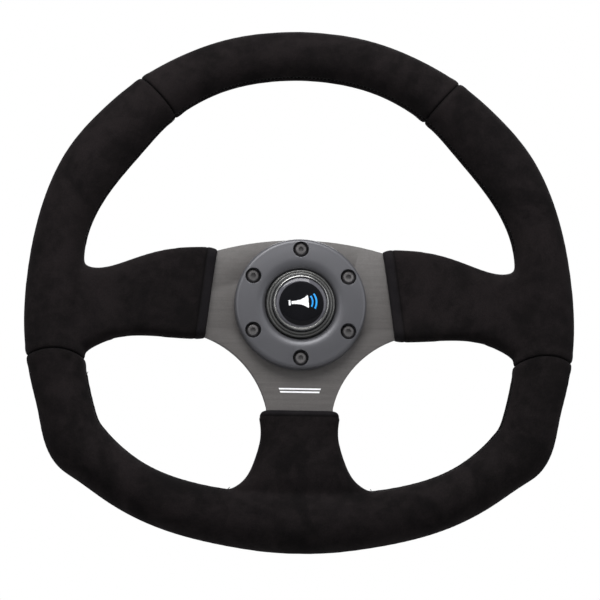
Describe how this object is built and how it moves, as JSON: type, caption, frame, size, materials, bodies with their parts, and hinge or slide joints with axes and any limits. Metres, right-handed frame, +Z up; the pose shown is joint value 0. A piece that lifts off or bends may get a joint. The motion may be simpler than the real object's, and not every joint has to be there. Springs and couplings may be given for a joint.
{
  "type": "quick release steering wheel",
  "caption": "Flat-bottomed suede-wrapped motorsport steering wheel with padded spokes, a sprung horn button and a ball-lock quick release hub.",
  "frame": {"origin": "on the steering axis, at the shoulder inside the hub that the column boss seats on", "axes": "+X to the driver's right, +Y from the driver towards the column along the steering axis, +Z up"},
  "size_m": [0.3506, 0.0705, 0.337],
  "materials": {
    "suede": "brushed suede nap",
    "foam": "moulded foam skin",
    "tube_steel": "drawn tube",
    "plate_paint": "fine textured matte grey powder coat",
    "ring_anodised": "dark satin anodised, turned",
    "screw_black": "black oxide",
    "hub_anodised": "black satin anodised",
    "collar_anodised": "dark grey satin anodised, turned",
    "spring_steel": "bright spring wire",
    "ball_steel": "polished bearing steel",
    "housing_black": "dark satin anodised, turned",
    "cap_black": "satin moulded",
    "badge_gloss": "polished dome",
    "badge_ring_bright": "bright turned",
    "contact_brass": "stamped",
    "base_plastic": "moulded"
  },
  "bodies": {
    "wheel": {"rim_core": "tube_steel", "spoke_plate": "plate_paint", "rim_foam": "foam", "suede_top": "suede", "suede_left": "suede", "suede_right": "suede", "suede_bottom": "suede", "retaining_ring": "ring_anodised", "ring_screws": "screw_black", "hub_flange": "hub_anodised", "hub_sleeve": "hub_anodised", "collar_spring": "spring_steel", "snap_ring": "spring_steel", "horn_housing": "housing_black", "horn_base": "base_plastic", "horn_spring": "spring_steel", "horn_terminals": "contact_brass"},
    "horn_button": {"horn_cap": "cap_black", "badge_ring": "badge_ring_bright", "horn_badge": "badge_gloss", "contact_plate": "contact_brass"},
    "release_collar": {"release_collar": "collar_anodised"},
    "lock_ball_1": {"lock_ball_1": "ball_steel"},
    "lock_ball_2": {"lock_ball_2": "ball_steel"},
    "lock_ball_3": {"lock_ball_3": "ball_steel"},
    "lock_ball_4": {"lock_ball_4": "ball_steel"},
    "lock_ball_5": {"lock_ball_5": "ball_steel"},
    "lock_ball_6": {"lock_ball_6": "ball_steel"}
  },
  "joints": [
    {"name": "horn_press", "type": "slide", "parent": "wheel", "child": "horn_button", "axis": [0, 1, 0], "range_m": [0, 0.002], "stiffness_N_per_m": 3000, "springref_m": -0.002, "deforming": ["horn_spring"]},
    {"name": "collar_slide", "type": "slide", "parent": "wheel", "child": "release_collar", "axis": [0, -1, 0], "range_m": [0, 0.007], "stiffness_N_per_m": 4000, "springref_m": -0.006, "deforming": ["collar_spring"]},
    {"name": "ball_1_out", "type": "slide", "parent": "wheel", "child": "lock_ball_1", "axis": [1, 0, 0], "range_m": [0, 0.0015]},
    {"name": "ball_2_out", "type": "slide", "parent": "wheel", "child": "lock_ball_2", "axis": [0.5, 0, 0.866], "range_m": [0, 0.0015]},
    {"name": "ball_3_out", "type": "slide", "parent": "wheel", "child": "lock_ball_3", "axis": [-0.5, 0, 0.866], "range_m": [0, 0.0015]},
    {"name": "ball_4_out", "type": "slide", "parent": "wheel", "child": "lock_ball_4", "axis": [-1, 0, 0], "range_m": [0, 0.0015]},
    {"name": "ball_5_out", "type": "slide", "parent": "wheel", "child": "lock_ball_5", "axis": [-0.5, 0, -0.866], "range_m": [0, 0.0015]},
    {"name": "ball_6_out", "type": "slide", "parent": "wheel", "child": "lock_ball_6", "axis": [0.5, 0, -0.866], "range_m": [0, 0.0015]}
  ],
  "couplings": [
    {"joint": "ball_1_out", "follows": "collar_slide", "ratio": 0.2},
    {"joint": "ball_2_out", "follows": "collar_slide", "ratio": 0.2},
    {"joint": "ball_3_out", "follows": "collar_slide", "ratio": 0.2},
    {"joint": "ball_4_out", "follows": "collar_slide", "ratio": 0.2},
    {"joint": "ball_5_out", "follows": "collar_slide", "ratio": 0.2},
    {"joint": "ball_6_out", "follows": "collar_slide", "ratio": 0.2}
  ]
}
